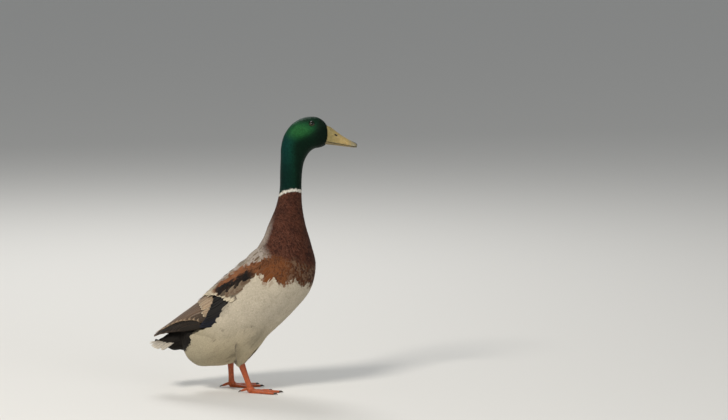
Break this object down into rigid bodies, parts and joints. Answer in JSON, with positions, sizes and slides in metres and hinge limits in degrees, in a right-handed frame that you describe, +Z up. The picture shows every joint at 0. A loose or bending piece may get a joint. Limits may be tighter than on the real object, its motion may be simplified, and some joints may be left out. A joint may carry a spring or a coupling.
{
  "type": "indian runner duck",
  "caption": "Life-size Indian runner drake in mallard colours, a still model walking upright on webbed feet, neck raised, wings folded and tail low.",
  "frame": {"origin": "on the floor, under the middle of the bird's bounding box", "axes": "+X the way the bird faces, +Y its left side, +Z up"},
  "size_m": [0.386, 0.1298, 0.5107],
  "materials": {
    "body_feathers": "pale grey-cream vermiculated feathers",
    "breast_feathers": "soft deep claret feathers",
    "head_feathers": "short dense green feathers with a silky sheen",
    "wing_feathers": "smooth brown flight feathers and chestnut scapulars",
    "tail_feathers": "pale-fringed tail feathers with black coverts",
    "bill_horn": "smooth olive-yellow horn",
    "leg_skin": "scaled orange skin",
    "claw_horn": "dull dark horn",
    "eye": "wet and glossy, dark brown"
  },
  "bodies": {
    "root": {"torso": "body_feathers", "neck_lower": "breast_feathers", "neck_upper": "head_feathers", "head": "head_feathers", "eye_left": "eye", "eye_right": "eye", "bill_upper": "bill_horn", "bill_lower": "bill_horn", "wing_left": "wing_feathers", "wing_right": "wing_feathers", "tail": "tail_feathers", "thigh_left": "body_feathers", "thigh_right": "body_feathers", "shank_left": "leg_skin", "shank_right": "leg_skin", "foot_left": "leg_skin", "foot_right": "leg_skin", "claw_inner_left": "claw_horn", "claw_middle_left": "claw_horn", "claw_outer_left": "claw_horn", "claw_hind_left": "claw_horn", "claw_inner_right": "claw_horn", "claw_middle_right": "claw_horn", "claw_outer_right": "claw_horn", "claw_hind_right": "claw_horn"}
  },
  "joints": []
}
